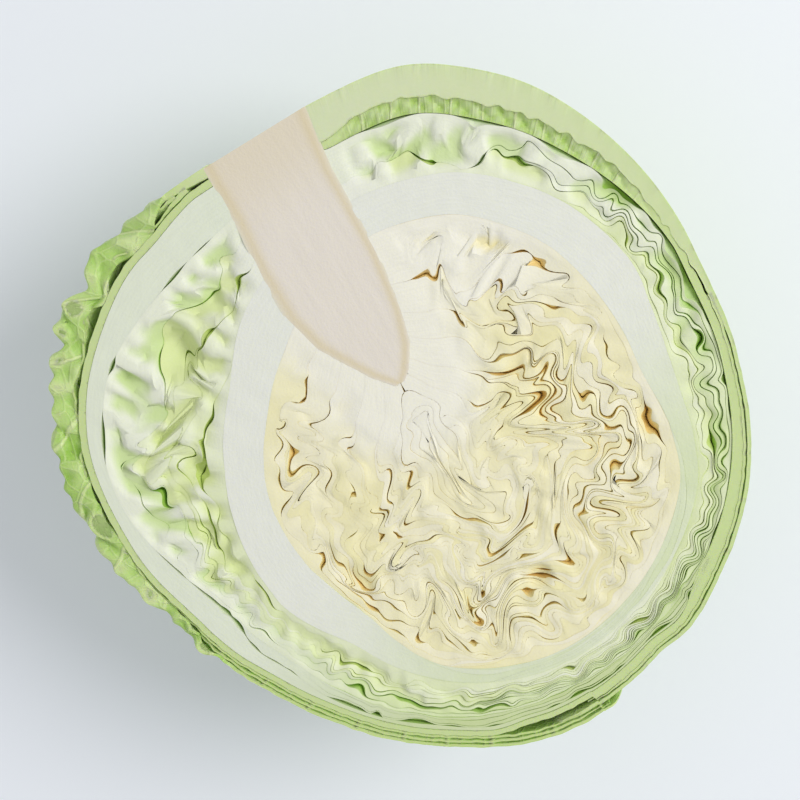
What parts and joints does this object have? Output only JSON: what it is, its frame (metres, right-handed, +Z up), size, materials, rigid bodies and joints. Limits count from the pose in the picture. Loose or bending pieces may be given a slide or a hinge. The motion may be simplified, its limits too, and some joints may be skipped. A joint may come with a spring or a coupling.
{
  "type": "half cabbage head",
  "caption": "Half head of green cabbage cut lengthwise through its core: nested cupped leaves with thick pale ribs round a crumpled cream heart, lying on its round back with the cut face up.",
  "frame": {"origin": "centre of the small flat spot on the round back that the head rests on, under the middle of the cut face", "axes": "+Z up, out of the flat cut face; the cut stem end of the core points towards -X and +Y, and the ruffled outer leaf is on the -X side"},
  "size_m": [0.1804, 0.176, 0.084],
  "materials": {
    "core_flesh": "moist cream-beige cut flesh",
    "ruffled_leaf": "bright green waxy leaf",
    "outer_leaf": "pale green waxy leaf",
    "back_leaf": "green waxy leaf",
    "wrapper_leaf": "greenish white leaf",
    "folded_leaf": "pale green crumpled leaf",
    "rib_leaf": "near white thick leaf rib",
    "heart_leaf": "cream-yellow crumpled leaf",
    "heart_bud": "pale yellow crumpled bud"
  },
  "bodies": {
    "root": {"back_leaf": "back_leaf", "outer_leaf_left": "ruffled_leaf", "outer_leaf_right": "outer_leaf", "wrapper_left": "wrapper_leaf", "fold_left_1": "folded_leaf", "fold_right_1": "folded_leaf", "fold_left_2": "folded_leaf", "fold_right_2": "folded_leaf", "fold_left_3": "folded_leaf", "rib_leaf_right": "rib_leaf", "rib_leaf_left": "rib_leaf", "heart_right_1": "heart_leaf", "heart_left_1": "heart_leaf", "heart_right_2": "heart_leaf", "heart_left_2": "heart_leaf", "heart_right_3": "heart_leaf", "heart_left_3": "heart_leaf", "heart_right_4": "heart_leaf", "heart_left_4": "heart_leaf", "heart_right_5": "heart_leaf", "heart_left_5": "heart_leaf", "heart_right_6": "heart_leaf", "heart_bud": "heart_bud", "stem_core": "core_flesh"}
  },
  "joints": []
}
